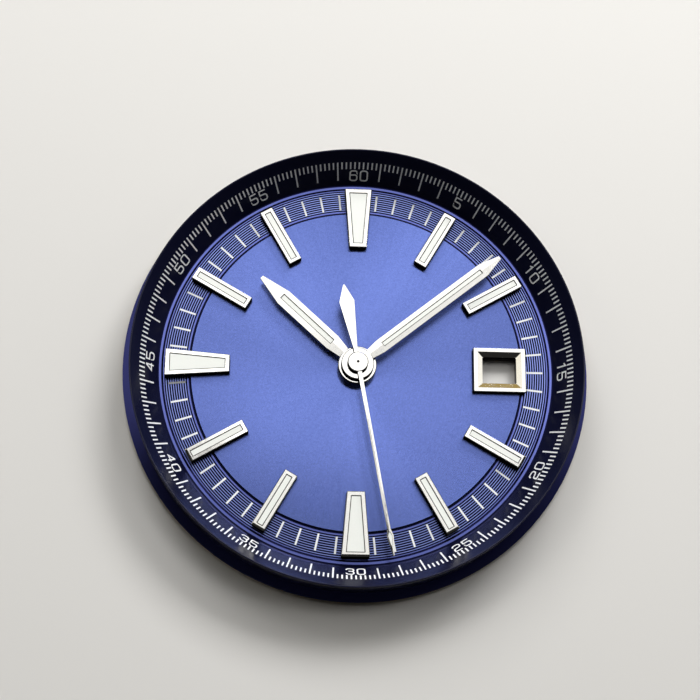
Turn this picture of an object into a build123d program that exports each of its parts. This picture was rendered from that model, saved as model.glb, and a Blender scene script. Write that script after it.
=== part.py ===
from build123d import *
import os
from math import cos, radians, sin

# A watch dial with a sloped chapter ring, applied hour markers, a framed date window
# and three hands. Millimetres. The origin is on the dial's axis at its back face,
# +Z points at the viewer, +Y at 12 o'clock and +X at 3 o'clock.

# Dial plate
dial_r = 16.75
plate_thk = 0.40
centre_hole_r = 1.05
disc_rise = 0.13
disc_bevel = 0.07

# Chapter ring, set in from the dial's rim
margin_w = 0.65
margin_drop = 0.20
ring_w = 1.85
ring_height = 2.50
ring_top_w = 0.10

# Minute track between the ring's foot and the raised disc, with its turned lines
track_w = 2.30
line_count = 10
line_inset = 0.51
line_pitch = 0.169
line_w = 0.09
line_depth = 0.035
border_line_inset = 0.34
border_line_w = 0.12

# Hour markers
marker_rise = 0.70
marker_corner_r = 0.06
marker_bevel = 0.05
bar_inset = 0.62
bar_length = 4.55
bar_w = 1.00
bar_rim = 0.25
wedge_inset = 0.55
wedge_length = 4.60
wedge_in_w = 1.27
wedge_out_w = 2.00
wedge_rim = 0.29
seat_gap = 0.02

# Luminous fills
lume_thk = 0.30
lume_recess = 0.05
lume_gap = 0.01
pocket_gap = 0.03
lume_corner_r = 0.05

# Pins under the markers and the date frame
pin_r = 0.20
pin_gap = 0.02
pin_recess = 0.02
pin_end_inset = 0.95

# Date window and its frame
date_inset = 3.97
window_w = 2.45
window_h = 1.95
window_corner_r = 0.08
frame_w = 3.80
frame_h = 3.30
frame_rise = 0.62
frame_rim = 0.30
frame_bevel_drop = 0.18
frame_corner_r = 0.08
frame_pin_inset = 0.34

# Dial feet
foot_r = 0.375
foot_length = 0.80
foot_base_r = 0.60
foot_base_thk = 0.10
foot_tip = 0.08
foot_inset = 1.85
foot_pair_angle = 30

# Gaps up the stack of hands
hand_gap = 0.20
first_hand_gap = 0.15
running_gap = 0.07
pipe_end_gap = 0.03
seat_floor_thk = 0.03

# Hour hand
hour_angle = 312.7
hour_reach = 2 / 3
hour_tip_w = 0.26
hour_point_length = 2.20
hour_w = 1.22
hour_shoulder = 2.45
hour_neck = 1.20
hour_neck_w = 0.80
hour_hub_r = 1.38
hour_slot_w = 0.44
hour_slot_past_point = 0.15
hour_thk = 0.22
hour_edge_thk = 0.14
hour_hub_edge = 0.05
hour_pipe_r = 0.98
hour_pipe_lift = 0.05
hour_head_r = 1.18
hour_bore_r = 0.75

# Minute hand
minute_angle = 51.2
minute_tip_inset = 1.00
minute_tip_w = 0.25
minute_point_length = 1.55
minute_w = 1.03
minute_shoulder = 2.10
minute_neck = 1.02
minute_neck_w = 0.72
minute_hub_r = 1.17
minute_slot_w = 0.37
minute_slot_end = 0.19
minute_thk = 0.20
minute_edge_thk = 0.13
minute_hub_edge = 0.05
minute_pipe_r = 0.98
minute_head_r = 0.91
minute_bore_r = 0.42

# Seconds hand
seconds_angle = 169.5
seconds_tip_inset = 0.25
seconds_tip_w = 0.08
seconds_arrow_length = 1.85
seconds_arrow_widest = 1.38
seconds_arrow_w = 0.48
seconds_needle_w = 0.22
seconds_hub_w = 0.28
seconds_hub_r = 0.74
seconds_hub_thk = 0.20
seconds_hub_edge = 0.06
seconds_tail_neck = 1.00
seconds_tail_neck_w = 0.26
seconds_tail_wide = 4.60
seconds_tail_w = 1.08
seconds_tail_tip = 5.85
seconds_tail_tip_w = 0.10
seconds_thk = 0.15
seconds_edge_thk = 0.11
seconds_fill_rim = 0.09
seconds_fill_inner_length = 0.27
seconds_fill_outer_length = 0.68
seconds_fill_tip_w = 0.10
seconds_pipe_r = 0.51
seconds_head_r = 0.26
seconds_head_rise = 0.03
seconds_bore_r = 0.10

# One overrun for every cut, and the clock's angles
overrun = 0.50
hour_step_angle = 30

# Radii from the rim inwards
ring_r = dial_r - margin_w
ring_foot_r = ring_r - ring_w
disc_r = ring_foot_r - track_w
border_line_r = ring_foot_r - border_line_inset
line_outer_r = ring_foot_r - line_inset
bar_out_r = ring_foot_r - bar_inset
bar_in_r = bar_out_r - bar_length
wedge_out_r = ring_foot_r - wedge_inset
wedge_in_r = wedge_out_r - wedge_length
date_x = ring_foot_r - date_inset
foot_circle_r = ring_foot_r - foot_inset

# Lengths along the hands, from the centre
hour_tip = ring_foot_r * hour_reach
hour_point = hour_tip - hour_point_length
minute_tip = ring_foot_r - minute_tip_inset
minute_point = minute_tip - minute_point_length
seconds_tip = ring_foot_r - seconds_tip_inset
seconds_arrow_in = seconds_tip - seconds_arrow_length
seconds_arrow_wide = seconds_tip - seconds_arrow_widest

# Heights up the part
track_z = plate_thk
disc_z = track_z + disc_rise
marker_top_z = track_z + marker_rise
frame_top_z = track_z + frame_rise
hour_z = marker_top_z + first_hand_gap
hour_top_z = hour_z + hour_thk
minute_z = hour_top_z + hand_gap
minute_top_z = minute_z + minute_thk
seconds_z = minute_top_z + hand_gap
seconds_top_z = seconds_z + seconds_hub_thk

wedge_hours = ("12", "09", "06")
bar_hours = ("01", "02", "04", "05", "07", "08", "10", "11")


def rod(radius, low, high, x=0, y=0):
    """A round rod from one height to another."""
    column = Cylinder(radius, high - low, align=(Align.CENTER, Align.CENTER, Align.MIN))
    return Pos(x, y, low) * column


def turned(points):
    """A piece turned about the dial's axis from (radius, height) points."""
    outline = Plane.XZ * Polyline(*points, close=True)
    return revolve(make_face(outline), axis=Axis.Z)


def plate(points, low, high):
    """A flat piece cut from sheet, from (x, y) points."""
    return Pos(0, 0, low) * extrude(make_face(Polyline(*points, close=True)), amount=high - low)


def at_hour(hour, piece):
    """Turn a piece made at 12 o'clock round to its hour."""
    return Rot(0, 0, -int(hour) * hour_step_angle) * piece


def marker_pin_radii(hour):
    """Distances from the centre to a marker's two pins."""
    inner, outer = (wedge_in_r, wedge_out_r) if hour in wedge_hours else (bar_in_r, bar_out_r)
    return (inner + pin_end_inset, outer - pin_end_inset)


def frame_pin_places():
    """The date frame's two pins, at opposite corners of its border."""
    reach_x = frame_w / 2 - frame_pin_inset
    reach_y = frame_h / 2 - frame_pin_inset
    return [(date_x - reach_x, reach_y), (date_x + reach_x, -reach_y)]


def foot_places():
    """Two pairs of feet, each pair across the centre."""
    x = foot_circle_r * sin(radians(foot_pair_angle / 2))
    y = foot_circle_r * cos(radians(foot_pair_angle / 2))
    return [(x, y), (-x, -y), (-x, y), (x, -y)]


# Dial plate


def line_points(radius, width):
    """One turned V line in the track, from its outer edge to its inner edge."""
    return [
        (radius + width / 2, track_z),
        (radius, track_z - line_depth),
        (radius - width / 2, track_z),
    ]


def make_dial_plate():
    profile = [
        (centre_hole_r, 0),
        (dial_r, 0),
        (dial_r, track_z - margin_drop),
        (ring_r, track_z),
    ]
    profile += line_points(border_line_r, border_line_w)
    for index in range(line_count):
        profile += line_points(line_outer_r - index * line_pitch, line_w)
    profile += [
        (disc_r, track_z),
        (disc_r, disc_z - disc_bevel),
        (disc_r - disc_bevel, disc_z),
        (centre_hole_r, disc_z),
    ]
    blank = turned(profile)
    holes = []
    for hour in wedge_hours + bar_hours:
        for radius in marker_pin_radii(hour):
            holes.append(at_hour(hour, rod(pin_r + pin_gap, -overrun, disc_z + overrun, 0, radius)))
    for x, y in frame_pin_places():
        holes.append(rod(pin_r + pin_gap, -overrun, disc_z + overrun, x, y))
    holes.append(window_block(-overrun, disc_z + overrun))
    return blank - holes


def window_block(low, high):
    """The date window as a solid, to cut with."""
    face = Pos(date_x, 0, low) * RectangleRounded(window_w, window_h, window_corner_r)
    return extrude(face, amount=high - low)


# Chapter ring


def make_chapter_ring():
    return turned(
        [
            (ring_foot_r, track_z),
            (ring_r, track_z),
            (ring_r, track_z + ring_height),
            (ring_r - ring_top_w, track_z + ring_height),
        ]
    )


# Hour markers and their fills


def marker_face(hour):
    """The outline of a marker, made at 12 o'clock."""
    if hour in wedge_hours:
        inner, outer, inner_w, outer_w = wedge_in_r, wedge_out_r, wedge_in_w, wedge_out_w
    else:
        inner, outer, inner_w, outer_w = bar_in_r, bar_out_r, bar_w, bar_w
    corners = [
        (-inner_w / 2, inner),
        (inner_w / 2, inner),
        (outer_w / 2, outer),
        (-outer_w / 2, outer),
    ]
    face = make_face(Polyline(*corners, close=True))
    return fillet(face.vertices(), radius=marker_corner_r)


def fill_face(hour, gap):
    """The outline of a marker's pocket, drawn in by a gap for the fill."""
    rim = wedge_rim if hour in wedge_hours else bar_rim
    face = offset(marker_face(hour), amount=-(rim + gap), kind=Kind.INTERSECTION)
    return fillet(face.vertices(), radius=lume_corner_r - gap)


def make_marker(hour):
    body = Pos(0, 0, track_z) * extrude(marker_face(hour), amount=marker_rise)
    body = chamfer(body.faces().sort_by(Axis.Z)[-1].edges(), length=marker_bevel)
    floor_z = marker_top_z - lume_recess - lume_thk
    body -= Pos(0, 0, floor_z) * extrude(fill_face(hour, 0), amount=lume_thk + overrun)
    body -= rod(disc_r + seat_gap, track_z - overrun, disc_z)
    for radius in marker_pin_radii(hour):
        seat_z = disc_z if radius < disc_r else track_z
        body += rod(pin_r, pin_recess, seat_z, 0, radius)
    return at_hour(hour, body)


def make_marker_lume(hour):
    floor_z = marker_top_z - lume_recess - lume_thk
    fill = Pos(0, 0, floor_z) * extrude(fill_face(hour, pocket_gap), amount=lume_thk)
    return at_hour(hour, fill)


# Date frame


def make_date_frame():
    outer = RectangleRounded(frame_w, frame_h, frame_corner_r)
    body = Pos(date_x, 0, track_z) * extrude(outer, amount=frame_rise)
    body = chamfer(body.faces().sort_by(Axis.Z)[-1].edges(), length=marker_bevel)
    mouth = Rectangle(frame_w - 2 * frame_rim, frame_h - 2 * frame_rim)
    throat = Rectangle(window_w, window_h)
    low = Pos(date_x, 0, frame_top_z - frame_bevel_drop) * throat
    high = Pos(date_x, 0, frame_top_z) * mouth
    body -= loft([low, high])
    body -= window_block(track_z - overrun, frame_top_z)
    body -= rod(disc_r + seat_gap, track_z - overrun, disc_z)
    for x, y in frame_pin_places():
        seat_z = disc_z if x < disc_r else track_z
        body += rod(pin_r, pin_recess, seat_z, x, y)
    return body


# Hands


def ridged_blade(points, width, low, edge_thk, ridge_thk, length):
    """A blade with two long facets that meet in a ridge."""
    slab = plate(points, low, low + ridge_thk)
    half = width / 2
    slope = (ridge_thk - edge_thk) / half
    reach = half + overrun
    outer_z = ridge_thk - slope * reach
    section = Plane.XZ * Polyline(
        (-reach, -overrun), (reach, -overrun), (reach, outer_z), (0, ridge_thk), (-reach, outer_z),
        close=True,
    )
    roof = Pos(0, 0, low) * extrude(make_face(section), amount=length + overrun, both=True)
    return slab & roof


def hub(radius, low, high, edge):
    """A flat round hub with its top edge broken."""
    return turned([(0, low), (radius, low), (radius, high - edge), (radius - edge, high), (0, high)])


def sword_points(neck, neck_w, shoulder, width, point, tip, tip_w):
    """Half-symmetric outline of a sword hand, pointing at 12 o'clock."""
    right = [
        (neck_w / 2, 0),
        (neck_w / 2, neck),
        (width / 2, shoulder),
        (width / 2, point),
        (tip_w / 2, tip),
    ]
    left = [(-x, y) for x, y in reversed(right)]
    return right + left


def slot_points(width, inner, outer, gap):
    """A slot along a hand, drawn in by a gap for its fill."""
    half = width / 2 - gap
    return [(-half, inner + gap), (half, inner + gap), (half, outer - gap), (-half, outer - gap)]


def hour_slot_points(gap):
    """The hour hand's slot, from its shoulder to just past the start of its point."""
    return slot_points(hour_slot_w, hour_shoulder, hour_point + hour_slot_past_point, gap)


def make_hour_hand():
    outline = sword_points(
        hour_neck, hour_neck_w, hour_shoulder, hour_w, hour_point, hour_tip, hour_tip_w
    )
    hand = ridged_blade(outline, hour_w, hour_z, hour_edge_thk, hour_thk, hour_tip)
    hand += hub(hour_hub_r, hour_z, hour_top_z, hour_hub_edge)
    slot = hour_slot_points(0)
    hand -= plate(slot, hour_z - overrun, hour_top_z + overrun)
    hand -= rod(hour_head_r, hour_z - overrun, hour_top_z + overrun)
    return Rot(0, 0, -hour_angle) * hand


def make_hour_hand_lume():
    fill = plate(hour_slot_points(lume_gap), hour_z, hour_z + hour_edge_thk)
    return Rot(0, 0, -hour_angle) * fill


def make_hour_hand_pipe():
    """A bored pipe that runs in the dial's centre hole, with a wide head staked in the hand."""
    pipe = rod(hour_pipe_r, hour_pipe_lift, hour_z)
    pipe += rod(hour_head_r, hour_z, hour_top_z)
    pipe -= rod(hour_bore_r, hour_pipe_lift - overrun, hour_top_z + overrun)
    pipe -= rod(minute_pipe_r + running_gap, hour_z + seat_floor_thk, hour_top_z + overrun)
    return pipe


def minute_slot_points(gap):
    """The minute hand's slot, as far short of its shoulder as of its point."""
    inner = minute_shoulder + minute_slot_end
    return slot_points(minute_slot_w, inner, minute_point - minute_slot_end, gap)


def make_minute_hand():
    outline = sword_points(
        minute_neck, minute_neck_w, minute_shoulder, minute_w, minute_point, minute_tip, minute_tip_w
    )
    hand = ridged_blade(outline, minute_w, minute_z, minute_edge_thk, minute_thk, minute_tip)
    hand += hub(minute_hub_r, minute_z, minute_top_z, minute_hub_edge)
    slot = minute_slot_points(0)
    hand -= plate(slot, minute_z - overrun, minute_top_z + overrun)
    hand -= rod(minute_head_r, minute_z - overrun, minute_top_z + overrun)
    return Rot(0, 0, -minute_angle) * hand


def make_minute_hand_lume():
    fill = plate(minute_slot_points(lume_gap), minute_z, minute_z + minute_edge_thk)
    return Rot(0, 0, -minute_angle) * fill


def make_minute_hand_pipe():
    """A bored pipe whose lower end runs in the hour pipe's head."""
    low = hour_z + seat_floor_thk + pipe_end_gap
    pipe = rod(minute_pipe_r, low, minute_z)
    pipe += rod(minute_head_r, minute_z, minute_top_z)
    pipe -= rod(minute_bore_r, low - overrun, minute_top_z + overrun)
    pipe -= rod(seconds_pipe_r + running_gap, minute_z + seat_floor_thk, minute_top_z + overrun)
    return pipe


def seconds_points():
    """Outline of the seconds hand: spear tail, needle and arrow, pointing at 12 o'clock."""
    right = [
        (seconds_tail_tip_w / 2, -seconds_tail_tip),
        (seconds_tail_w / 2, -seconds_tail_wide),
        (seconds_tail_neck_w / 2, -seconds_tail_neck),
        (seconds_hub_w / 2, 0),
        (seconds_needle_w / 2, seconds_arrow_in),
        (seconds_arrow_w / 2, seconds_arrow_wide),
        (seconds_tip_w / 2, seconds_tip),
    ]
    left = [(-x, y) for x, y in reversed(right)]
    return right + left


def seconds_fill_points(gap):
    """The arrow's fill: a long diamond inside the arrow's rim."""
    half = seconds_arrow_w / 2 - seconds_fill_rim - gap
    tip_half = seconds_fill_tip_w / 2 - gap
    right = [
        (tip_half, seconds_arrow_wide - seconds_fill_inner_length + gap),
        (half, seconds_arrow_wide),
        (tip_half, seconds_arrow_wide + seconds_fill_outer_length - gap),
    ]
    left = [(-x, y) for x, y in reversed(right)]
    return right + left


def make_seconds_hand():
    outline = seconds_points()
    hand = ridged_blade(
        outline, seconds_tail_w, seconds_z, seconds_edge_thk, seconds_thk, seconds_tip
    )
    hand += hub(seconds_hub_r, seconds_z, seconds_top_z, seconds_hub_edge)
    hand -= plate(seconds_fill_points(0), seconds_z - overrun, seconds_top_z + overrun)
    hand -= rod(seconds_head_r, seconds_z - overrun, seconds_top_z + overrun)
    return Rot(0, 0, -seconds_angle) * hand


def make_seconds_hand_lume():
    fill = plate(seconds_fill_points(lume_gap), seconds_z, seconds_z + seconds_edge_thk)
    return Rot(0, 0, -seconds_angle) * fill


def make_seconds_hand_pipe():
    """A bored pipe whose lower end runs in the minute pipe's head; its own head shows on top."""
    low = minute_z + seat_floor_thk + pipe_end_gap
    pipe = rod(seconds_pipe_r, low, seconds_z)
    pipe += rod(seconds_head_r, seconds_z, seconds_top_z + seconds_head_rise)
    pipe -= rod(seconds_bore_r, low - overrun, seconds_top_z + overrun)
    return pipe


# Dial feet


def make_dial_feet():
    foot = turned(
        [
            (0, 0),
            (foot_base_r, 0),
            (foot_base_r, -foot_base_thk),
            (foot_r, -foot_base_thk),
            (foot_r, foot_tip - foot_length),
            (foot_r - foot_tip, -foot_length),
            (0, -foot_length),
        ]
    )
    return Compound(children=[Pos(x, y, 0) * foot for x, y in foot_places()])


pieces = {
    "dial_plate": make_dial_plate(),
    "dial_feet": make_dial_feet(),
    "chapter_ring": make_chapter_ring(),
    "date_frame": make_date_frame(),
    "hour_hand": make_hour_hand(),
    "hour_hand_lume": make_hour_hand_lume(),
    "hour_hand_pipe": make_hour_hand_pipe(),
    "minute_hand": make_minute_hand(),
    "minute_hand_lume": make_minute_hand_lume(),
    "minute_hand_pipe": make_minute_hand_pipe(),
    "seconds_hand": make_seconds_hand(),
    "seconds_hand_lume": make_seconds_hand_lume(),
    "seconds_hand_pipe": make_seconds_hand_pipe(),
}
for hour in wedge_hours + bar_hours:
    pieces[f"marker_{hour}"] = make_marker(hour)
    pieces[f"marker_{hour}_lume"] = make_marker_lume(hour)

os.makedirs("parts", exist_ok=True)
for name, piece in pieces.items():
    piece.label = name
    export_step(piece, f"parts/{name}.step")
    print(name, round(piece.volume, 4))
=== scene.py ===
# %% [markdown]
# # A blue watch dial with its chapter ring, markers and hands
#
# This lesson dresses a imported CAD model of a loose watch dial. The CAD side already gives
# every solid its true place, in metres, with the origin on the dial's axis at its back face.
# +Z points at the viewer, +Y at 12 o'clock and +X at 3 o'clock. Blender's work is the look:
# lacquer, brushed metal, polish, luminous paste and print, plus a table, light and a camera.

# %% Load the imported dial
from math import cos, pi, radians, sin, sqrt, tan

import bmesh
import bpy
from mathutils import Matrix, Vector
from mathutils.geometry import tessellate_polygon


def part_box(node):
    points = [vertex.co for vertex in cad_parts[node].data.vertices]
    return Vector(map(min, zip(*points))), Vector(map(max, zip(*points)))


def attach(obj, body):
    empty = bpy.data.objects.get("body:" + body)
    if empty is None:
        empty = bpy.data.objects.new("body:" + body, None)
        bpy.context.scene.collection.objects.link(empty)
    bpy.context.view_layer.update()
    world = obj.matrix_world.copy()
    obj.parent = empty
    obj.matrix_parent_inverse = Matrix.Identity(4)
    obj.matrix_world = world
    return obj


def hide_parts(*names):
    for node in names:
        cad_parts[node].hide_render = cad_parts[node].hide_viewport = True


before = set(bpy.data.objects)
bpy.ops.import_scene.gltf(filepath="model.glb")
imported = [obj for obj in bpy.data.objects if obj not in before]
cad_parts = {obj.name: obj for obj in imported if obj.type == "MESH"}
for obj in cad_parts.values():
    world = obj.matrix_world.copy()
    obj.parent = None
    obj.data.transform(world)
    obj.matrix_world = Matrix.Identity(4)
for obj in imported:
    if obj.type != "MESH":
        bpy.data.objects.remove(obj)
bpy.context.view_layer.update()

# %% [markdown]
# The CAD gives the sizes that the scene's own pieces need. One millimetre is named, because
# a dial is drawn in millimetres while Blender works in metres. Reading the heights from the
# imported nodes, and not writing them again, keeps print and ring seated on the real solids. A
# box only knows a piece's outer sizes, so the ring's foot, the flat land on its top and the
# disc's edge are written down.

# %% Read the heights and radii that other pieces stand on
MM = 0.001
plate_low, plate_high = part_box("dial_plate")
ring_low, ring_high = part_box("chapter_ring")
TRACK_Z = ring_low.z
RING_TOP_Z = ring_high.z
RING_R = ring_high.x
RING_FOOT_R = 14.25 * MM
RING_LAND = 0.10 * MM
DISC_R = 11.95 * MM
print("track at", round(TRACK_Z / MM, 3), "mm, ring's edge at", round(RING_R / MM, 3), "mm")

# %% [markdown]
# Every finish is a node tree. This small workshop class keeps the later cells short: it makes
# a material with one Principled shader, and it wires a node from a few words. Values that are
# the same all over a surface are set on the shader's own sockets, because an exported model
# keeps those and loses the ones that arrive through a chain of nodes.


# %% A workshop for finishes
class Finish:
    """One material with a Principled shader, and short ways to add nodes to it."""

    def __init__(self, name, **settings):
        self.material = bpy.data.materials.new(name)
        self.material.use_nodes = True
        self.nodes = self.material.node_tree.nodes
        self.links = self.material.node_tree.links
        self.nodes.clear()
        self.output = self.nodes.new("ShaderNodeOutputMaterial")
        self.shader = self.nodes.new("ShaderNodeBsdfPrincipled")
        self.links.new(self.shader.outputs["BSDF"], self.output.inputs["Surface"])
        for socket, value in settings.items():
            self.shader.inputs[socket.replace("_", " ")].default_value = value

    def feed(self, socket, value):
        """Put a number, a colour or another node's output into a socket."""
        if isinstance(value, bpy.types.NodeSocket):
            self.links.new(value, socket)
        else:
            socket.default_value = value

    def place(self):
        """Where a point lies on the piece, which turns with the piece."""
        return self.nodes.new("ShaderNodeTexCoord").outputs["Object"]

    def upright(self):
        """How far a surface faces up, from -1 to 1, in the piece's own frame."""
        return self.parts(self.nodes.new("ShaderNodeTexCoord").outputs["Normal"])[2]

    def math(self, operation, first, second=0.0, third=0.0):
        """One Math node."""
        node = self.nodes.new("ShaderNodeMath")
        node.operation = operation
        for socket, value in zip(node.inputs, (first, second, third)):
            self.feed(socket, value)
        return node.outputs["Value"]

    def vector(self, operation, first, second=(0.0, 0.0, 0.0)):
        """One Vector Math node; a length comes back as a number."""
        node = self.nodes.new("ShaderNodeVectorMath")
        node.operation = operation
        self.feed(node.inputs[0], first)
        self.feed(node.inputs[1], second)
        return node.outputs["Value" if operation in ("LENGTH", "DOT_PRODUCT") else "Vector"]

    def parts(self, vector):
        """The X, Y and Z of a vector."""
        node = self.nodes.new("ShaderNodeSeparateXYZ")
        self.feed(node.inputs[0], vector)
        return node.outputs["X"], node.outputs["Y"], node.outputs["Z"]

    def noise(self, vector, scale, detail=2.0, roughness=0.5):
        """Noise from 0 to 1."""
        node = self.nodes.new("ShaderNodeTexNoise")
        self.feed(node.inputs["Vector"], vector)
        node.inputs["Scale"].default_value = scale
        node.inputs["Detail"].default_value = detail
        node.inputs["Roughness"].default_value = roughness
        return node.outputs["Fac"]

    def spread(self, value, low, high, to_low=0.0, to_high=1.0):
        """Stretch a range of numbers onto another, held at its ends."""
        node = self.nodes.new("ShaderNodeMapRange")
        self.feed(node.inputs["Value"], value)
        node.inputs["From Min"].default_value = low
        node.inputs["From Max"].default_value = high
        node.inputs["To Min"].default_value = to_low
        node.inputs["To Max"].default_value = to_high
        return node.outputs["Result"]

    def blend(self, amount, first, second, kind="RGBA"):
        """Mix two colours, vectors or numbers."""
        node = self.nodes.new("ShaderNodeMix")
        node.data_type = kind
        index = {"FLOAT": (0, 2, 3, 0), "VECTOR": (0, 4, 5, 1), "RGBA": (0, 6, 7, 2)}[kind]
        self.feed(node.inputs[index[0]], amount)
        self.feed(node.inputs[index[1]], first)
        self.feed(node.inputs[index[2]], second)
        return node.outputs[index[3]]

    def bump(self, height, strength, distance):
        """Raise the surface by a height in metres."""
        node = self.nodes.new("ShaderNodeBump")
        node.inputs["Strength"].default_value = strength
        node.inputs["Distance"].default_value = distance
        self.feed(node.inputs["Height"], height)
        return node.outputs["Normal"]


# A surface that faces up less than this counts as a wall.
WALL = 0.4
# Most of a noise lies between these two.
NOISE_MOST = (0.3, 0.7)
print("workshop ready")

# %% [markdown]
# Colours are picked from how a finish looks on a screen, in steps from 0 to 255.
# Blender computes light with linear colours, so each one is turned over with the screen's own
# curve. Without that, dark lacquer would come out pale and milky.


# %% Turn screen colours into linear ones
def paint(red, green, blue):
    """A colour as it is seen on a screen, from 0 to 255, turned into Blender's linear one."""
    parts = []
    for part in (red, green, blue):
        share = part / 255
        parts.append(share / 12.92 if share <= 0.04045 else ((share + 0.055) / 1.055) ** 2.4)
    return (*parts, 1.0)


print("middle grey is", round(paint(128, 128, 128)[0], 3))

# %% [markdown]
# Now the studio. A loose dial lies on a pale padded table. Its four feet press half way into
# the padding, so the flat back stands a little above it, and the padding swells into the date
# window. A cloth simulation could find this shape. It is small and soft, so a short list of
# rings, each with its radius and depth, gives the same look and comes out the same each time.

# %% Measure where the padding gives way
feet_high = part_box("dial_feet")[1]
date_low, date_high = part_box("date_frame")
BACK_ABOVE_TABLE = 0.40 * MM
TABLE_Z = plate_low.z - BACK_ABOVE_TABLE
FOOT_R = 0.60 * MM
FOOT_PLACE = Vector((feet_high.x - FOOT_R, feet_high.y - FOOT_R))
DATE_X = (date_low.x + date_high.x) / 2
PRESSED_STEPS = 32
# A dimple from its lip to its bottom: radius, and depth under the sheet, in millimetres.
DIMPLE = [(1.30, 0.0), (1.00, 0.03), (0.82, 0.10), (0.72, 0.26), (0.66, 0.41), (0.0, 0.43)]
# The swell of the padding into the date window, in the same way.
SWELL = [(2.60, 0.0), (2.20, -0.05), (1.90, -0.20), (1.60, -0.32), (1.20, -0.36), (0.0, -0.37)]


def pressed_rings(x, y, profile):
    """The rings of points of one dimple or swell, from its lip to its middle."""
    rings = []
    for radius, depth in profile:
        ring = []
        for step in range(PRESSED_STEPS):
            turn = 2 * pi * step / PRESSED_STEPS
            spot = (x + radius * MM * cos(turn), y + radius * MM * sin(turn), TABLE_Z - depth * MM)
            ring.append(Vector(spot))
        rings.append(ring)
    return rings


print("table at", round(TABLE_Z / MM, 2), "mm, date window at", round(DATE_X / MM, 2), "mm")

# %% [markdown]
# The table is one large flat sheet with five round holes, and the rings of points close each
# hole again as a dimple or a swell. Blender's tessellate_polygon fills an outline with holes
# with few triangles, so the flat part stays light while the small shapes stay round.

# %% Lay the sheet
TABLE_HALF = 2.0


def table_mesh():
    """The sheet, with a dimple under each foot and a swell under the date window."""
    corners = [(-1, -1), (1, -1), (1, 1), (-1, 1)]
    sheet = [Vector((x * TABLE_HALF, y * TABLE_HALF, TABLE_Z)) for x, y in corners]
    pressed = [pressed_rings(x * FOOT_PLACE.x, y * FOOT_PLACE.y, DIMPLE) for x, y in corners]
    pressed.append(pressed_rings(DATE_X, 0.0, SWELL))
    outlines = [sheet] + [rings[0][::-1] for rings in pressed]
    points = [point for outline in outlines for point in outline]
    faces = [tuple(face) for face in tessellate_polygon(outlines)]
    for rings in pressed:
        start = len(points)
        points += [point for ring in rings for point in ring]
        for level in range(len(rings) - 1):
            for step in range(PRESSED_STEPS):
                follow = (step + 1) % PRESSED_STEPS
                here = start + level * PRESSED_STEPS
                there = here + PRESSED_STEPS
                faces.append((here + step, there + step, there + follow, here + follow))
    mesh = bpy.data.meshes.new("table")
    mesh.from_pydata([tuple(point) for point in points], [], faces)
    return mesh


table = bpy.data.objects.new("table", table_mesh())
bpy.context.scene.collection.objects.link(table)
print("table faces:", len(table.data.polygons))

# %% [markdown]
# Far from the dial the lamps no longer reach, and the sheet would fade to black in low views.
# There it shows its own pale colour to the camera and to reflections. Near the dial it stays a
# plain lit surface, so that it carries the dial's shadow. A Mix Shader fades one into the other
# with the distance from the dial, and a Light Path node asks who is looking.

# %% Cover the table
TABLE_COLOUR = paint(226, 224, 220)
TABLE_ROUGH = 0.7
TABLE_GLOSS = 0.25
TABLE_GLOW = 0.85
GLOW_FROM = 70 * MM
GLOW_FULL = 320 * MM


def table_cover():
    finish = Finish("table_cover", Base_Color=TABLE_COLOUR, Roughness=TABLE_ROUGH)
    finish.shader.inputs["Specular IOR Level"].default_value = TABLE_GLOSS
    away = finish.vector("LENGTH", finish.place())
    far = finish.spread(away, GLOW_FROM, GLOW_FULL)
    light_path = finish.nodes.new("ShaderNodeLightPath").outputs
    seen = finish.math("MAXIMUM", light_path["Is Camera Ray"], light_path["Is Glossy Ray"])
    seen = finish.math("MAXIMUM", seen, light_path["Is Transmission Ray"])
    glow = finish.nodes.new("ShaderNodeEmission")
    glow.inputs["Color"].default_value = TABLE_COLOUR
    glow.inputs["Strength"].default_value = TABLE_GLOW
    mix = finish.nodes.new("ShaderNodeMixShader")
    finish.links.new(finish.math("MULTIPLY", far, seen), mix.inputs["Fac"])
    finish.links.new(finish.shader.outputs["BSDF"], mix.inputs[1])
    finish.links.new(glow.outputs["Emission"], mix.inputs[2])
    finish.links.new(mix.outputs["Shader"], finish.output.inputs["Surface"])
    return finish.material


table.data.materials.append(table_cover())
print("table covered, glow from", GLOW_FROM / MM, "to", GLOW_FULL / MM, "mm")

# %% [markdown]
# Soft lamps do the work of a room with a window. The two halves of the window stand low behind
# 12 o'clock: they give the table its brightness and throw the soft shadow towards 6 o'clock.
# Polished metal only looks white where it mirrors something white. So pale cards hang where
# the camera's view bounces off the markers' tops and the hands' slopes, two cream walls stand
# at the sides, and a warm sill below the window puts the gold into the date frame. The small
# bright right_card stands for a second window and fills in the shadow a little. Each lamp's
# strength is given as radiance, which is how bright its mirror image looks.

# %% Hang the lamps
PLAIN = (1.0, 1.0, 1.0)
CREAM = (1.0, 0.96, 0.85)
PALE_CREAM = (1.0, 0.98, 0.92)
GOLD = (1.0, 0.70, 0.16)
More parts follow.
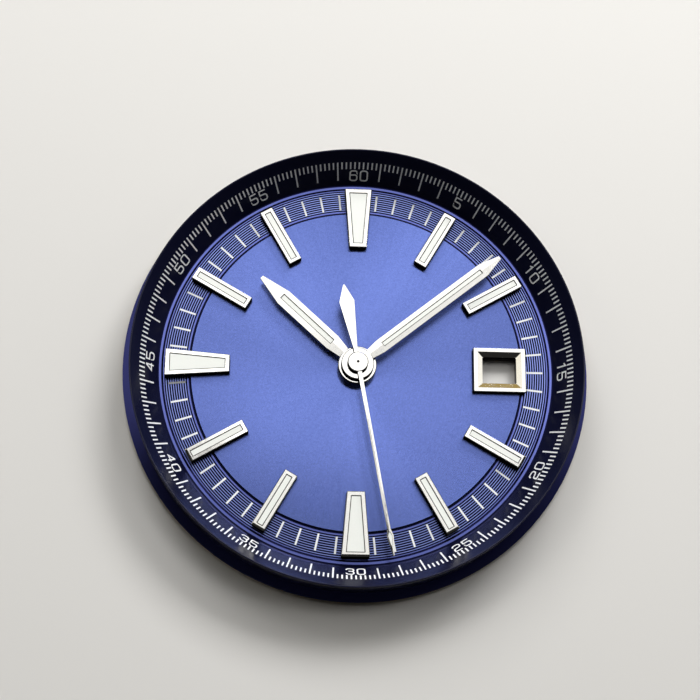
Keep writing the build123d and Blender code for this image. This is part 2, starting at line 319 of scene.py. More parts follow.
# Each lamp: degrees from 12 o'clock and above the table, distance, width and height in
# metres, radiance and colour.
LAMPS = {
    "window_right": (28, 35, 0.300, 0.158, 0.083, 17.0, PLAIN),
    "window_left": (-18, 37, 0.300, 0.125, 0.150, 7.2, PLAIN),
    "white_card": (4, 66.2, 0.243, 0.136, 0.101, 1.38, PLAIN),
    "high_card": (22, 80.6, 0.225, 0.058, 0.036, 0.95, PLAIN),
    "side_card": (64, 71, 0.235, 0.026, 0.044, 0.93, PLAIN),
    "top_card": (-51, 77, 0.228, 0.020, 0.034, 0.93, PLAIN),
    "left_card": (-34, 68, 0.260, 0.068, 0.103, 0.46, PLAIN),
    "right_card": (56, 60, 0.260, 0.050, 0.050, 6.60, PLAIN),
    "left_wall": (-70, 38, 0.300, 0.140, 0.150, 1.00, CREAM),
    "right_wall": (77, 30, 0.300, 0.140, 0.120, 1.05, PALE_CREAM),
    "window_sill": (9, 20, 0.300, 0.200, 0.045, 0.34, GOLD),
}


def hang_lamp(name, azimuth, height, distance, wide, high, radiance, colour):
    """A rectangle lamp that looks at the dial, with its brightness given as radiance."""
    azimuth, height = radians(azimuth), radians(height)
    toward = Vector((sin(azimuth) * cos(height), cos(azimuth) * cos(height), sin(height)))
    lamp = bpy.data.lights.new(name, "AREA")
    lamp.shape = "RECTANGLE"
    lamp.size = wide
    lamp.size_y = high
    lamp.energy = radiance * pi * wide * high
    lamp.color = colour
    holder = bpy.data.objects.new(name, lamp)
    holder.location = toward * distance
    holder.rotation_euler = toward.to_track_quat("Z", "Y").to_euler()
    bpy.context.scene.collection.objects.link(holder)


for name, setting in LAMPS.items():
    hang_lamp(name, *setting)
print("lamps:", ", ".join(LAMPS))

# %% [markdown]
# The rest of the room stays almost dark. That darkens what the steep sides of the markers
# mirror, on top of the shade painted on them, and turns the upper part of the black ring
# black. A little warm light is left, so that the shadows aren't quite empty.

# %% Dim the room
ROOM_RADIANCE = 0.02
ROOM_COLOUR = (1.0, 0.98, 0.95, 1.0)

room = bpy.data.worlds.new("room")
bpy.context.scene.world = room
room.use_nodes = True
room.node_tree.nodes["Background"].inputs["Color"].default_value = ROOM_COLOUR
room.node_tree.nodes["Background"].inputs["Strength"].default_value = ROOM_RADIANCE
print("room at", ROOM_RADIANCE)

# %% [markdown]
# The camera stands where the photographer stood: on the 6 o'clock side, about 17 degrees off
# the dial's axis, a little turned. Its place is worked out from an aim point on the dial, two
# angles, a roll and a distance, because these can be measured from the ellipses that the
# dial's circles become in a photograph.

# %% Set up the camera
AIM = Vector((-0.486, 1.402, 0.40)) * MM
AZIMUTH = radians(-9.889)
ELEVATION = radians(72.677)
ROLL = radians(10.876)
DISTANCE = 111.24 * MM
LENS = 79.19
SENSOR = 36.0


def place_camera():
    back = Vector((
        sin(AZIMUTH) * cos(ELEVATION),
        -cos(AZIMUTH) * cos(ELEVATION),
        sin(ELEVATION),
    ))
    level = Vector((0, 0, 1)).cross(back).normalized()
    upright = back.cross(level)
    right = level * cos(ROLL) + upright * sin(ROLL)
    up = upright * cos(ROLL) - level * sin(ROLL)
    lens = bpy.data.cameras.new("camera")
    lens.lens = LENS
    lens.sensor_width = SENSOR
    lens.clip_start = 0.005
    lens.clip_end = 10.0
    camera = bpy.data.objects.new("camera", lens)
    stand = Matrix((right, up, back)).transposed().to_4x4()
    stand.translation = AIM + back * DISTANCE
    camera.matrix_world = stand
    bpy.context.scene.collection.objects.link(camera)
    bpy.context.scene.camera = camera
    return camera


camera = place_camera()
bpy.context.scene.view_settings.view_transform = "Standard"
print("camera", tuple(round(part / MM, 1) for part in camera.matrix_world.translation), "mm")

# %% [markdown]
# Every CAD node comes with one slot for its finish. A small helper puts a material into it and
# leaves the mesh as it is.


# %% Dress a CAD node
def dress(node, material):
    """Give a CAD node its finish, in the slot it came with."""
    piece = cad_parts[node]
    for slot in range(len(piece.data.materials)):
        piece.data.materials[slot] = material


print("nodes to dress:", len(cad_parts))

# %% [markdown]
# The dial itself is brass, brushed in rays from the centre, then given a thin blue metallic
# lacquer. Each scratch spreads a reflection across itself, so the disc shows bright and dark
# fans that move as it is tilted. In Blender that is the Principled shader's anisotropy with a
# tangent that runs round the axis, plus fine streaks that depend on direction only and a
# speckle of pigment grains. Towards the disc's edge the colour is painted a little darker:
# painted shade.

# %% Mix the lacquers and mark out the disc
DISC_BLUE = paint(104, 121, 192)
DISC_BLUE_DEEP = paint(94, 111, 180)
# Painted shade: this dark blue goes on the disc's edge, the foot of its step, the track's lines and
# border, the band under the ring and the plate's upright walls.
PAINTED_SHADE_BLUE = paint(8, 10, 42)
BARE_BRASS = paint(196, 160, 96)
DISC_FLAT_R = DISC_R - 0.075 * MM
STEP_SHADE_R = DISC_R + 0.11 * MM
# Painted shade: from this radius out, the disc's colour darkens towards its edge.
EDGE_SHADE_FROM_R = 7.0 * MM
EDGE_SHADE_SHARE = 0.12
FINE_STREAKS = 150.0
BROAD_STREAKS = 22.0
BROAD_SHARE = 0.35
SPECKLE = 7000.0
SPECKLE_SHARE = 0.55
GRAIN_EDGES = (0.40, 0.60)
DISC_ROUGH = (0.20, 0.26)


def disc_lacquer(finish, place, out, radius):
    """The colour of the sunburst disc, and how rough its streaks are."""
    fine = finish.noise(out, FINE_STREAKS, 3.0, 0.6)
    broad = finish.noise(out, BROAD_STREAKS, 2.0, 0.5)
    fine_part = finish.math("MULTIPLY", fine, 1 - BROAD_SHARE)
    streak = finish.math("MULTIPLY_ADD", broad, BROAD_SHARE, fine_part)
    speck = finish.noise(place, SPECKLE, 2.0, 0.6)
    streak_part = finish.math("MULTIPLY", streak, 1 - SPECKLE_SHARE)
    grain = finish.math("MULTIPLY_ADD", speck, SPECKLE_SHARE, streak_part)
    colour = finish.blend(finish.spread(grain, *GRAIN_EDGES), DISC_BLUE_DEEP, DISC_BLUE)
    # Painted shade: the colour darkens towards the disc's edge.
    edge_shade = finish.spread(radius, EDGE_SHADE_FROM_R, DISC_R, 0.0, EDGE_SHADE_SHARE)
    rough = finish.spread(streak, *NOISE_MOST, *DISC_ROUGH)
    return finish.blend(edge_shade, colour, PAINTED_SHADE_BLUE), rough


print("disc out to", round(DISC_R / MM, 3), "mm")

# %% [markdown]
# The minute track outside the disc was turned on a lathe. Its ridges carry a painted
# highlight, and painted shade lies in the lines between them, at the foot of the disc's step,
# in the border line and under the chapter ring's foot. The lines are too fine for the CAD,
# 0.17 mm apart, so a PINGPONG node counts them off along the radius: it turns a distance into
# a zigzag that is lowest on each line.

# %% Mark out the turned track
TRACK_BLUE = paint(98, 108, 178)
# Painted highlight: the bright blue of the track's ridges.
RIDGE_HIGHLIGHT_BLUE = paint(133, 147, 214)
# The margin's colour is partly its own lacquer and partly painted shade from the ring beside it.
MARGIN_BLUE_AND_SHADE = paint(58, 62, 124)
RIDGES_IN_R = 12.17 * MM
RIDGES_OUT_R = 13.78 * MM
# Painted shade lies on the track from here out to the ring's foot.
SHADE_R = RING_FOOT_R - 0.10 * MM
LAST_LINE_R = 13.74 * MM
LINE_PITCH = 0.169 * MM
# The zigzag starts this many lines further in, so that it covers the whole track.
LINES_INWARDS = 12
LINE_EDGE = (0.050 * MM, 0.064 * MM)
# Painted shade in the border line, the outer turned line.
BORDER_R = 13.92 * MM
BORDER_HALF = 0.07 * MM
GROOVE_DEPTHS = (TRACK_Z - 0.001 * MM, TRACK_Z - 0.004 * MM)
# A hair beside an edge, so that rounding never leaves a seam there.
HAIR = 0.01 * MM


def band(finish, radius, inner, outer):
    """1 between two distances from the axis, else 0."""
    return finish.math("COMPARE", radius, (inner + outer) / 2, (outer - inner) / 2)


def track_lacquer(finish, radius, height):
    """The colour of the turned track and of the margin outside the ring."""
    from_line = finish.math("SUBTRACT", radius, LAST_LINE_R - LINES_INWARDS * LINE_PITCH)
    from_line = finish.math("PINGPONG", from_line, LINE_PITCH / 2)
    # Painted highlight on the ridges and painted shade in the lines between them.
    lines = finish.blend(finish.spread(from_line, *LINE_EDGE), PAINTED_SHADE_BLUE, RIDGE_HIGHLIGHT_BLUE)
    colour = finish.blend(band(finish, radius, RIDGES_IN_R, RIDGES_OUT_R), TRACK_BLUE, lines)
    # Painted shade in the cut grooves, picked by their depth.
    colour = finish.blend(finish.spread(height, *GROOVE_DEPTHS), colour, PAINTED_SHADE_BLUE)
    # Painted shade in the border line and in the band under the ring's foot.
    border = finish.math("COMPARE", radius, BORDER_R, BORDER_HALF)
    shade = finish.math("GREATER_THAN", radius, SHADE_R)
    colour = finish.blend(finish.math("MAXIMUM", shade, border), colour, PAINTED_SHADE_BLUE)
    # Outside the ring: the margin's own lacquer, darkened with painted shade.
    margin = finish.math("GREATER_THAN", radius, RING_R - HAIR)
    return finish.blend(margin, colour, MARGIN_BLUE_AND_SHADE)


print("track's lines are", round(LINE_PITCH / MM, 3), "mm apart")

# %% [markdown]
# One tree holds both lacquers, because the plate is one solid: it picks disc or track by the
# distance from the axis, the painted shade on the steps and walls by how upright the surface
# is, and the bare brass of the back by its height. The tangent is picked in the same way: round
# the axis on the disc, where the brush went outwards, and outwards on the track, where the
# lathe went round.

# %% Lacquer the dial plate
BACK_Z = 0.03 * MM
DISC_BRUSHING = 0.8
TRACK_BRUSHING = 0.3
TRACK_ROUGH = 0.28


def lacquer_dial():
    finish = Finish("dial_sunburst", Metallic=0.92)
    place = finish.place()
    flat = finish.vector("MULTIPLY", place, (1.0, 1.0, 0.0))
    out = finish.vector("NORMALIZE", flat)
    around = finish.vector("CROSS_PRODUCT", (0.0, 0.0, 1.0), out)
    radius = finish.vector("LENGTH", flat)
    height = finish.parts(place)[2]
    track = finish.math("GREATER_THAN", radius, DISC_R - HAIR)
    wall = finish.math("LESS_THAN", finish.upright(), WALL)
    back = finish.math("LESS_THAN", height, BACK_Z)

    disc, disc_rough = disc_lacquer(finish, place, out, radius)
    front = finish.blend(track, disc, track_lacquer(finish, radius, height))
    # Painted shade: a dark ring over the disc's bevel and the foot of its step.
    front = finish.blend(band(finish, radius, DISC_FLAT_R, STEP_SHADE_R), front, PAINTED_SHADE_BLUE)
    # Painted shade on the plate's upright walls.
    front = finish.blend(wall, front, PAINTED_SHADE_BLUE)
    colour = finish.blend(back, front, BARE_BRASS)
    rough = finish.blend(track, disc_rough, TRACK_ROUGH, "FLOAT")
    finish.feed(finish.shader.inputs["Base Color"], colour)
    finish.feed(finish.shader.inputs["Roughness"], rough)
    brushing = finish.spread(track, 0.0, 1.0, DISC_BRUSHING, TRACK_BRUSHING)
    finish.feed(finish.shader.inputs["Anisotropic"], brushing)
    finish.feed(finish.shader.inputs["Tangent"], finish.blend(track, around, out, "VECTOR"))
    return finish.material


dress("dial_plate", lacquer_dial())
print("dial plate lacquered")

# %% [markdown]
# Real corners are never knife-sharp, and their tiny round edge is what catches a thin line of
# light. rounded_path puts an arc of its own radius into each corner of a line. The ring's
# profile and the printed digits both use it.


# %% Round the corners of a line
def rounded_path(corners, radii, closed, steps=6):
    """Points along a line whose corners are rounded, each by its own radius."""
    path = []
    count = len(corners)
    for index, (corner, radius) in enumerate(zip(corners, radii)):
        corner = Vector(corner)
        if radius == 0 or (not closed and index in (0, count - 1)):
            path.append(corner)
            continue
        before = (Vector(corners[index - 1]) - corner).normalized()
        after = (Vector(corners[(index + 1) % count]) - corner).normalized()
        opening = before.angle(after)
        centre = corner + (before + after).normalized() * (radius / sin(opening / 2))
        start = corner + before * (radius / tan(opening / 2)) - centre
        end = corner + after * (radius / tan(opening / 2)) - centre
        sweep = pi - opening
        for step in range(steps + 1):
            share = step / steps
            turn = start * sin((1 - share) * sweep) + end * sin(share * sweep)
            path.append(centre + turn / sin(sweep))
    return path


elbow = rounded_path([(0, 0), (1, 0), (1, 1)], [0, 0.2, 0], closed=False)
print("an elbow with a rounded corner has", len(elbow), "points")

# %% [markdown]
# A lathe turns a profile round an axis. turned_mesh does the same in mesh code: it repeats the
# profile's points at every step round the axis and joins them with four-sided faces. It closes
# on itself, so the piece has no seam.


# %% Turn a profile
def turned_mesh(profile, steps):
    """Points and faces of a closed (radius, height) profile turned round the axis."""
    points = []
    faces = []
    size = len(profile)
    for step in range(steps):
        turn = 2 * pi * step / steps
        points += [(radius * sin(turn), radius * cos(turn), height) for radius, height in profile]
        here = step * size
        there = (step + 1) % steps * size
        for index in range(size):
            follow = (index + 1) % size
            faces.append((here + index, there + index, there + follow, here + follow))
    return points, faces


washer = turned_mesh([(1, 0), (2, 0), (2, 1), (1, 1)], steps=12)
print("a square washer in 12 steps has", len(washer[1]), "faces")

# %% [markdown]
# A new piece has to belong to one of the part's bodies, or it would stay behind when the part
# moves. All the pieces that are made here sit still on the dial, so they ride on its body, and
# each gets the material that is passed in. Faces that meet at less than the crease angle are
# shaded as one smooth surface.


# %% Make a piece that rides on the dial
def new_piece(name, points, faces, material, crease=radians(35)):
    """A mesh piece that rides on the dial, smooth except at its creases."""
    mesh = bpy.data.meshes.new(name)
    mesh.from_pydata([tuple(point) for point in points], [], faces)
    mesh.validate()
    mesh.polygons.foreach_set("use_smooth", [True] * len(mesh.polygons))
    mesh.set_sharp_from_angle(angle=crease)
    mesh.materials.append(material)
    piece = bpy.data.objects.new(name, mesh)
    bpy.context.scene.collection.objects.link(piece)
    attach(piece, "dial_body")
    return piece


print("new pieces ride on dial_body")

# %% [markdown]
# The chapter ring is one turned piece of metal under black gloss lacquer. Its cone is so
# steep that it mirrors the blue dial at the bottom and the dark room at the top. The CAD ring
# has sharp corners and a facet every degree or so, which would show in that mirror. So the
# ring is turned again here from the same profile, with small fillets and many more steps.

# %% Turn the chapter ring
RING_STEPS = 720
RING_FILLETS = [0.0, 0.03 * MM, 0.025 * MM, 0.04 * MM]
RING_CLOUDS = 700.0
RING_ROUGH = (0.22, 0.24)


def lacquer_ring():
    finish = Finish("ring_gloss_lacquer", Metallic=0.0, IOR=1.30)
    cloud = finish.noise(finish.place(), RING_CLOUDS, 3.0, 0.55)
    colour = finish.blend(cloud, paint(15, 17, 40), paint(18, 20, 44))
    finish.feed(finish.shader.inputs["Base Color"], colour)
    rough = finish.spread(cloud, *NOISE_MOST, *RING_ROUGH)
    finish.feed(finish.shader.inputs["Roughness"], rough)
    return finish.material


def turn_chapter_ring():
    corners = [
        (RING_FOOT_R, TRACK_Z),
        (RING_R, TRACK_Z),
        (RING_R, RING_TOP_Z),
        (RING_R - RING_LAND, RING_TOP_Z),
    ]
    profile = rounded_path(corners, RING_FILLETS, closed=True, steps=5)
    points, faces = turned_mesh(profile, RING_STEPS)
    ring = new_piece("chapter_ring_turned", points, faces, lacquer_ring())
    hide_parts("chapter_ring")
    return ring


ring = turn_chapter_ring()
print("ring:", len(ring.data.polygons), "faces")

# %% [markdown]
# The marks, scale and numerals are pad printed: a film of white ink about a hundredth of a
# millimetre thick. A print is drawn flat, as "across" and "along", and then laid on its
# surface. Two small functions do that: one for the flat minute track and one for the cone.

# %% Find places on the track and on the cone
CONE_RUN = RING_R - RING_LAND - RING_FOOT_R
CONE_RISE = RING_TOP_Z - TRACK_Z
CONE_LENGTH = sqrt(CONE_RUN ** 2 + CONE_RISE ** 2)
CONE_OUT = CONE_RUN / CONE_LENGTH
CONE_UP = CONE_RISE / CONE_LENGTH


def on_plate(turn, across, along, above):
    """A point on the minute track: along is the distance from the axis."""
    return (
        along * sin(turn) + across * cos(turn),
        along * cos(turn) - across * sin(turn),
        TRACK_Z + above,
    )


def on_cone(turn, across, along, above):
    """A point on the ring's cone: along is measured up the slope from its foot."""
    radius = RING_FOOT_R + along * CONE_OUT - above * CONE_UP
    turn = turn + across / (RING_FOOT_R + along * CONE_OUT)
    return (radius * sin(turn), radius * cos(turn), TRACK_Z + along * CONE_UP + above * CONE_OUT)


def up_the_cone(radius):
    """How far up the slope a given distance from the axis lies."""
    return (radius - RING_FOOT_R) / CONE_OUT


print("cone is", round(CONE_LENGTH / MM, 2), "mm up its slope")

# %% [markdown]
# Each printed stroke is a thin raised ribbon that follows a centre line, so that it stays crisp
# at any zoom and shows in the exported mesh too. The ribbon has a top a hundredth of a
# millimetre above the surface and a bottom just under it. At a corner its edges are mitred,
# which the division by the dot product does.

# %% Prepare the ribbons of ink
INK_LIFT = 0.010 * MM
INK_SINK = 0.004 * MM
# A mitre may widen the ribbon by no more than one over this.
MITRE_LIMIT = 0.3


class Ink:
    """Collects printed ribbons into one mesh."""

    def __init__(self):
        self.points = []
        self.faces = []

    def ribbon(self, path, width, placed, closed=False, lift=INK_LIFT):
        """Lay a ribbon along a flat path; placed turns its points into places in space."""
        count = len(path)
        start = len(self.points)
        for index, point in enumerate(path):
            before = path[index - 1] if closed or index > 0 else None
            after = path[(index + 1) % count] if closed or index < count - 1 else None
            incoming = (point - before).normalized() if before is not None else None
            outgoing = (after - point).normalized() if after is not None else incoming
            incoming = outgoing if incoming is None else incoming
            heading = (incoming + outgoing).normalized()
            reach = width / 2 / max(MITRE_LIMIT, heading.dot(outgoing))
            side = Vector((-heading.y, heading.x)) * reach
            for edge, above in ((side, lift), (-side, lift), (-side, -INK_SINK), (side, -INK_SINK)):
                spot = point + edge
                self.points.append(placed(spot.x, spot.y, above))
        for index in range(count if closed else count - 1):
            here = start + index * 4
            there = start + (index + 1) % count * 4
            for corner in range(4):
                follow = (corner + 1) % 4
                self.faces.append((here + corner, here + follow, there + follow, there + corner))
        if not closed:
            self.faces.append((start, start + 3, start + 2, start + 1))
            last = start + (count - 1) * 4
            self.faces.append((last, last + 1, last + 2, last + 3))


print("ribbons", round((INK_LIFT + INK_SINK) / MM, 3), "mm thick")

# %% [markdown]
# White ink is a dense matt pigment with a little gloss from its binder. A very fine noise keeps
# it from looking like plain plastic: it varies the white a little and the gloss a little more.

# %% Mix the white ink
INK_CLOUDS = 9000.0
INK_ROUGH = (0.35, 0.5)


def white_ink():
    finish = Finish("white_ink", Metallic=0.0, IOR=1.45)
    cloud = finish.noise(finish.place(), INK_CLOUDS, 2.0, 0.5)
    colour = finish.blend(cloud, paint(236, 238, 240), paint(250, 250, 250))
    finish.feed(finish.shader.inputs["Base Color"], colour)
    rough = finish.spread(cloud, *NOISE_MOST, *INK_ROUGH)
    finish.feed(finish.shader.inputs["Roughness"], rough)
    return finish.material


INK = white_ink()
print("ink:", INK.name)

# %% [markdown]
# The minute marks lie on the flat track between the applied markers. Each is a short white
# line across the turned grooves. The marks under the markers are left out, apart from the one
# at minute 15, which shows beside the date frame.

# %% Print the minute marks
MARK_IN_R = 12.28 * MM
MARK_OUT_R = 13.50 * MM
MARK_W = 0.14 * MM
DATE_MINUTE = 15


def print_minute_marks():
    ink = Ink()
    marks = 0
    for minute in range(60):
        if minute % 5 == 0 and minute != DATE_MINUTE:
            continue
        turn = radians(6 * minute)
        path = [Vector((0, MARK_IN_R)), Vector((0, MARK_OUT_R))]
        ink.ribbon(path, MARK_W, lambda x, y, above, turn=turn: on_plate(turn, x, y, above))
        marks += 1
    print("minute marks:", marks)
    return new_piece("minute_marks", ink.points, ink.faces, INK)


print_minute_marks()

# %% [markdown]
# Round the cone runs a fifth-of-a-minute scale: 300 ticks that all end on one circle. A long
# one stands at each minute that has no numeral, and the rest are short.

# %% Print the ring's scale
TICK_TOP = up_the_cone(15.415 * MM)
TICK_SHORT = up_the_cone(15.08 * MM)
TICK_LONG = up_the_cone(14.52 * MM)
TICK_W = 0.11 * MM
TICKS = 300
TICKS_A_MINUTE = 5


def print_ring_scale():
    ink = Ink()
    for tick in range(TICKS):
        turn = radians(360 / TICKS * tick)
        minute, part = divmod(tick, TICKS_A_MINUTE)
        low = TICK_LONG if part == 0 and minute % 5 else TICK_SHORT
        path = [Vector((0, low)), Vector((0, TICK_TOP))]
        ink.ribbon(path, TICK_W, lambda x, y, above, turn=turn: on_cone(turn, x, y, above))
    print("ring ticks:", TICKS, "faces:", len(ink.faces))
    return new_piece("ring_scale", ink.points, ink.faces, INK)


print_ring_scale()

# %% [markdown]
# The numerals are wide and square-shouldered. A font would bring its own shapes, so each digit
# is drawn here as one or two centre lines in a box one wide and one high, with a list of which
# corners are rounded.

# %% Draw the digits
# Each line: its corners, which of them are rounded, and whether it closes on itself.
DIGIT_LINES = {
    "0": [([(0, 0), (1, 0), (1, 1), (0, 1)], (1, 1, 1, 1), True)],
    "1": [([(0.25, 0.80), (0.62, 1.0), (0.62, 0)], (0, 0, 0), False)],
    "2": [
        ([(0, 0.74), (0, 1), (1, 1), (1, 0.52), (0, 0.42), (0, 0), (1, 0)],
         (0, 1, 1, 1, 1, 0, 0), False),
    ],
    "3": [
        ([(0, 0.78), (0, 1), (1, 1), (1, 0.53), (0.3, 0.53)], (0, 1, 1, 1, 0), False),
        ([(0.3, 0.53), (1, 0.53), (1, 0), (0, 0), (0, 0.22)], (0, 1, 1, 1, 0), False),
    ],
    "4": [
        ([(0.74, 0), (0.74, 1)], (0, 0), False),
        ([(0.70, 1), (0, 0.30), (1, 0.30)], (0, 0, 0), False),
    ],
    "5": [
        ([(0.97, 1), (0, 1), (0, 0.57), (1, 0.57), (1, 0), (0, 0), (0, 0.2)],
         (0, 0, 0, 1, 1, 1, 0), False),
    ],
    "6": [
        ([(1, 0.8), (1, 1), (0, 1), (0, 0), (1, 0), (1, 0.57), (0.11, 0.57)],
         (0, 1, 1, 1, 1, 1, 0), False),
    ],
}
print("digits drawn:", " ".join(DIGIT_LINES))

# %% [markdown]
# A ribbon of ink is run along each digit's lines. The digits of a numeral stand side by side
# round the cone. From 20 to 40 the numerals are turned over so that they read upright, which
# only changes the sign of "across" and "along". A digit's second line lies a hair higher than
# its first, so that the two never share a face.

# %% Print the numerals
DIGIT_W = 0.62 * MM
DIGIT_GAP = 0.15 * MM
DIGIT_STROKE = 0.11 * MM
DIGIT_LOW = up_the_cone(14.48 * MM)
DIGIT_HIGH = up_the_cone(15.02 * MM)
DIGIT_CORNER = 0.17 * MM
LAYER_LIFT = 0.001 * MM
NUMERAL_CREASE = radians(60)


def print_digit(ink, digit, turn, middle, upright):
    """One digit: middle is how far its centre lies from the numeral's centre, to its right."""
    width = DIGIT_W - DIGIT_STROKE
    height = DIGIT_HIGH - DIGIT_LOW - DIGIT_STROKE
    centre = (DIGIT_HIGH + DIGIT_LOW) / 2
    facing = 1 if upright else -1
    for layer, (corners, rounded, closed) in enumerate(DIGIT_LINES[digit]):
        corners = [Vector(((x - 0.5) * width, (y - 0.5) * height)) for x, y in corners]
        path = rounded_path(corners, [flag * DIGIT_CORNER for flag in rounded], closed)
        ink.ribbon(
            path,
            DIGIT_STROKE,
            lambda x, y, above: on_cone(turn, facing * (x + middle), centre + facing * y, above),
            closed,
            INK_LIFT + layer * LAYER_LIFT,
        )


def print_numerals():
    ink = Ink()
    for minute in range(5, 65, 5):
        text = str(minute)
        upright = not 20 <= minute <= 40
        pitch = DIGIT_W + DIGIT_GAP
        for index, digit in enumerate(text):
            middle = (index - (len(text) - 1) / 2) * pitch
            print_digit(ink, digit, radians(6 * minute), middle, upright)
    print("numerals printed, faces:", len(ink.faces))
    return new_piece("ring_numerals", ink.points, ink.faces, INK, NUMERAL_CREASE)


print_numerals()

# %% [markdown]
# Markers, date frame and hands are stamped and plated, and then their tops alone are cut
# mirror bright with a diamond tool. Their steep sides mirror the shaded dial beside them, which
# draws a crisp black edge round each of them; that shade is painted on the sides as a dark
# colour with a black reflection tint. So one finish does both: a mirror where the metal faces
# up, a softer polish on the narrow bevels, and rougher metal with painted shade where it
# stands upright. How upright a surface is comes from its normal in the piece's own frame, so
# a hand keeps its finish as it turns.

# %% Polish the metal parts
STEEL = paint(246, 244, 238)
# Painted shade: the colour of the upright sides.
SIDE_SHADE = paint(34, 34, 38)
BEVEL = 0.9
WEAR = 2500.0
TOP_ROUGH = (0.05, 0.12)
BEVEL_ROUGH = 0.20
SIDE_ROUGH = 0.35
WHITE = (1.0, 1.0, 1.0, 1.0)
BLACK = (0.0, 0.0, 0.0, 1.0)


def polish():
    finish = Finish("polished_steel", Metallic=1.0)
    wear = finish.noise(finish.place(), WEAR, 4.0, 0.6)
    side = finish.math("LESS_THAN", finish.upright(), WALL)
    bevel = finish.math("LESS_THAN", finish.upright(), BEVEL)
    bright = finish.blend(wear, paint(240, 237, 228), paint(250, 249, 246))
    rough = finish.spread(wear, *NOISE_MOST, *TOP_ROUGH)
    rough = finish.blend(bevel, rough, BEVEL_ROUGH, "FLOAT")
    rough = finish.blend(side, rough, SIDE_ROUGH, "FLOAT")
    # Painted shade: the upright sides get a dark colour and a black reflection tint.
    finish.feed(finish.shader.inputs["Base Color"], finish.blend(side, bright, SIDE_SHADE))
    finish.feed(finish.shader.inputs["Roughness"], rough)
    finish.feed(finish.shader.inputs["Specular Tint"], finish.blend(side, WHITE, BLACK))
    return finish.material


POLISH = polish()
MARKERS = [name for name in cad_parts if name.startswith("marker_")]
MARKER_FRAMES = [name for name in MARKERS if not name.endswith("_lume")]
HANDS = ["hour_hand", "minute_hand", "seconds_hand"]
POLISHED = MARKER_FRAMES + HANDS + ["date_frame", "seconds_hand_pipe"]
for node in POLISHED:
    dress(node, POLISH)
print("polished:", len(POLISHED))

# %% [markdown]
# The markers have a bevel at their outer end. On the five markers of the dial's lower half it
# faces away from the window, so it shows as a black bar at the foot of each. The CAD markers
# have one narrow chamfer all round. So these five get a new mesh, taken from the CAD one, in
# which the upper edge of that chamfer is slid inwards at the outer end. The lower edge stays
# where it was, so the marker keeps its length. On the others the bevel mirrors the window and
# is as white as the top, so the CAD's own mesh does.

# %% Widen the bevel at the lower markers' outer ends
MARKER_CHAMFER = 0.05 * MM
BEVEL_SLIDE = 0.11 * MM
BEVEL_REACH = 1.4 * MARKER_CHAMFER
SAME_POINT = 0.0001 * MM
BEVEL_CREASE = radians(16)
LOWER_MARKERS = [node for node in MARKER_FRAMES if 4 <= int(node[-2:]) <= 8]


def bevel_marker(node):
    """Replace a marker by a copy with a wide outer bevel, and count its faces."""
    turn = radians(30 * int(node[-2:]))
    outward = Vector((sin(turn), cos(turn), 0.0))
    shape = bmesh.new()
    shape.from_mesh(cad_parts[node].data)
    bmesh.ops.remove_doubles(shape, verts=shape.verts, dist=SAME_POINT)
    shape.verts.index_update()
    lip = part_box(node)[1].z - MARKER_CHAMFER
    end = max(point.co.dot(outward) for point in shape.verts)
    for point in shape.verts:
        rise = max(0.0, (point.co.z - lip) / MARKER_CHAMFER)
        if point.co.dot(outward) > end - BEVEL_REACH:
            point.co -= outward * (BEVEL_SLIDE * rise)
    points = [point.co.copy() for point in shape.verts]
    faces = [tuple(point.index for point in face.verts) for face in shape.faces]
    shape.free()
    name = node + "_bevelled"
    marker = new_piece(name, points, faces, POLISH, BEVEL_CREASE)
    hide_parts(node)
    return len(faces)


print("bevelled markers, faces:", sum(bevel_marker(node) for node in LOWER_MARKERS))

# %% [markdown]
# Luminous paste is a chalky, very pale green mix of pigment grains in binder. It is matt,
# slightly uneven and takes the light like plaster. Where it meets the metal a thin gap stays in
# shade, which looks like a dark line drawn round each fill. The gap is too fine to be seen at
# this size, so that shade is painted on the paste's edge as a dark line. For that the material
# has to know its own outline, and each shape of fill gets a paste of its own.

# %% Name the shapes of the luminous fills
# Each shape: half width at its inner and outer end, where it starts and ends on the line from
# the axis, and the width of its painted shade line, all in millimetres.
BAR_FILL = (0.22, 0.22, 9.36, 13.35, 0.045)
WEDGE_FILL = (0.339, 0.654, 9.42, 13.38, 0.045)
HOUR_FILL = (0.21, 0.21, 2.46, 7.44, 0.060)
MINUTE_FILL = (0.175, 0.175, 2.30, 11.50, 0.060)
ARROW_FILL = (0.10, 0.10, 12.0, 13.0, 0.0)
# Painted shade: the colour of the dark line round each fill.
FILL_EDGE_SHADE = paint(52, 50, 40)


def edge_depth(finish, place, shape, start, sector):
    """How deep a point lies inside a fill that points from the axis at a turn.

    The fill comes back at every sector from there, so one paste serves a ring of markers.
    """
    half_in, half_out, inner, outer = shape
    east, north = finish.parts(place)[:2]
    turn = finish.math("SUBTRACT", finish.math("ARCTAN2", east, north), start)
    turn = finish.math("WRAP", turn, sector / 2, -sector / 2)
    radius = finish.vector("LENGTH", finish.vector("MULTIPLY", place, (1.0, 1.0, 0.0)))
    along = finish.math("MULTIPLY", radius, finish.math("COSINE", turn))
    across = finish.math("MULTIPLY", radius, finish.math("SINE", turn))
    half = finish.spread(along, inner, outer, half_in, half_out)
    from_side = finish.math("SUBTRACT", half, finish.math("ABSOLUTE", across))
    from_start = finish.math("SUBTRACT", along, inner)
    from_end = finish.math("SUBTRACT", outer, along)
    return finish.math("MINIMUM", from_side, finish.math("MINIMUM", from_start, from_end))


print("bar fills from", BAR_FILL[2], "to", BAR_FILL[3], "mm")

# %% [markdown]
# The paste itself: a fine noise gives the grain, both in the colour and in the height of the
# surface, and the painted shade line fades out over the inner half of its width. The hour and
# minute hands' pastes are told the turn at which each hand stands. The pattern is fixed to the
# piece, so it turns with the hand.

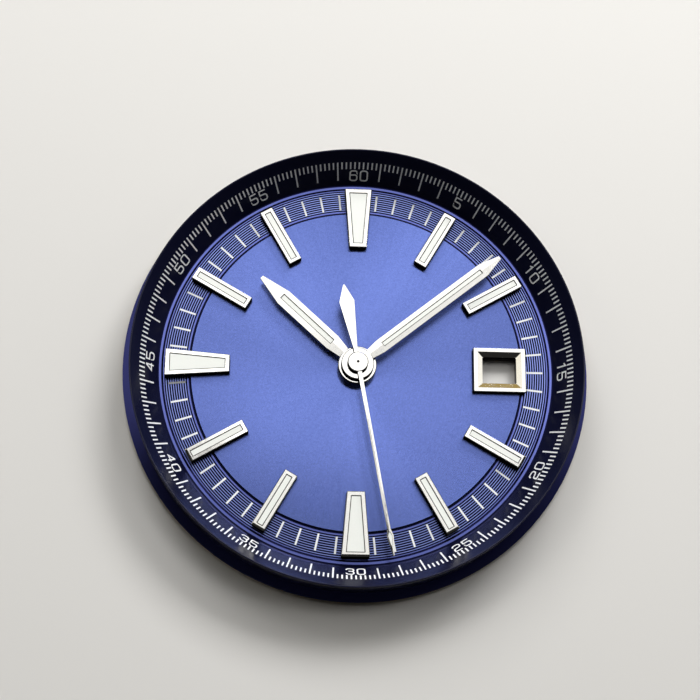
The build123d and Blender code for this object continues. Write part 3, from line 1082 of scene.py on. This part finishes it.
# %% Fill the markers and hands with luminous paste
HOUR_SECTOR = radians(30)
WHOLE_TURN = radians(360)
HOUR_TURN = radians(312.7)
MINUTE_TURN = radians(51.2)
PASTE_GRAIN = 14000.0
GRAIN_HEIGHT = 0.01 * MM
GRAIN_STRENGTH = 0.5
# The painted shade line starts to fade at this share of its width.
LINE_FADE = 0.5


def paste(name, shape, start, sector):
    """Paste for a fill of this shape that points from the axis at a turn."""
    *outline, edge = [size * MM for size in shape]
    finish = Finish(name, Metallic=0.0, Roughness=0.75)
    place = finish.place()
    grain = finish.noise(place, PASTE_GRAIN, 3.0, 0.6)
    chalk = finish.blend(grain, paint(245, 248, 240), paint(253, 254, 250))
    if edge:
        depth = edge_depth(finish, place, outline, start, sector)
        # Painted shade along the fill's edge.
        chalk = finish.blend(finish.spread(depth, LINE_FADE * edge, edge), FILL_EDGE_SHADE, chalk)
    bump = finish.bump(grain, GRAIN_STRENGTH, GRAIN_HEIGHT)
    finish.feed(finish.shader.inputs["Base Color"], chalk)
    finish.feed(finish.shader.inputs["Normal"], bump)
    return finish.material


BAR_PASTE = paste("bar_paste", BAR_FILL, 0.0, HOUR_SECTOR)
WEDGE_PASTE = paste("wedge_paste", WEDGE_FILL, 0.0, HOUR_SECTOR)
WEDGES = ("marker_12_lume", "marker_06_lume", "marker_09_lume")
LUME_NODES = [name for name in MARKERS if name.endswith("_lume")]
for node in LUME_NODES:
    dress(node, WEDGE_PASTE if node in WEDGES else BAR_PASTE)
dress("hour_hand_lume", paste("hour_paste", HOUR_FILL, HOUR_TURN, WHOLE_TURN))
dress("minute_hand_lume", paste("minute_paste", MINUTE_FILL, MINUTE_TURN, WHOLE_TURN))
dress("seconds_hand_lume", paste("arrow_paste", ARROW_FILL, 0.0, WHOLE_TURN))
print("luminous fills:", len(LUME_NODES) + 3)

# %% [markdown]
# The pipes under the hands are turned brass. Once staked in a hand they are plated with it, so
# their heads shine like the hand and only the tube below stays brass. The feet are copper
# posts soldered to the back. Fine turning marks run round all of them: the noise is squeezed
# flat in X and Y, so it only changes with the height.

# %% Turn the brass pipes and copper feet
BRASS = (paint(176, 138, 70), paint(214, 180, 112))
COPPER = (paint(168, 98, 62), paint(214, 142, 100))
PLATED_BELOW_HAND = 0.005 * MM
SQUEEZE = (0.05, 0.05, 1.0)
TURNING_MARKS = 30000.0
BARE_ROUGH = 0.32
PLATED_ROUGH = 0.08


def turned_metal(name, dark, light, plated_from):
    """Metal with fine turning marks, plated above a height."""
    finish = Finish(name, Metallic=1.0)
    place = finish.place()
    rings = finish.noise(finish.vector("MULTIPLY", place, SQUEEZE), TURNING_MARKS, 2.0)
    plated = finish.math("GREATER_THAN", finish.parts(place)[2], plated_from)
    colour = finish.blend(plated, finish.blend(rings, dark, light), STEEL)
    finish.feed(finish.shader.inputs["Base Color"], colour)
    rough = finish.spread(plated, 0.0, 1.0, BARE_ROUGH, PLATED_ROUGH)
    finish.feed(finish.shader.inputs["Roughness"], rough)
    return finish.material


for hand in ("hour_hand", "minute_hand"):
    plated_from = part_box(hand)[0].z - PLATED_BELOW_HAND
    dress(hand + "_pipe", turned_metal(hand + "_brass", *BRASS, plated_from))
dress("dial_feet", turned_metal("copper_post", *COPPER, plate_high.z))
print("pipes and feet dressed")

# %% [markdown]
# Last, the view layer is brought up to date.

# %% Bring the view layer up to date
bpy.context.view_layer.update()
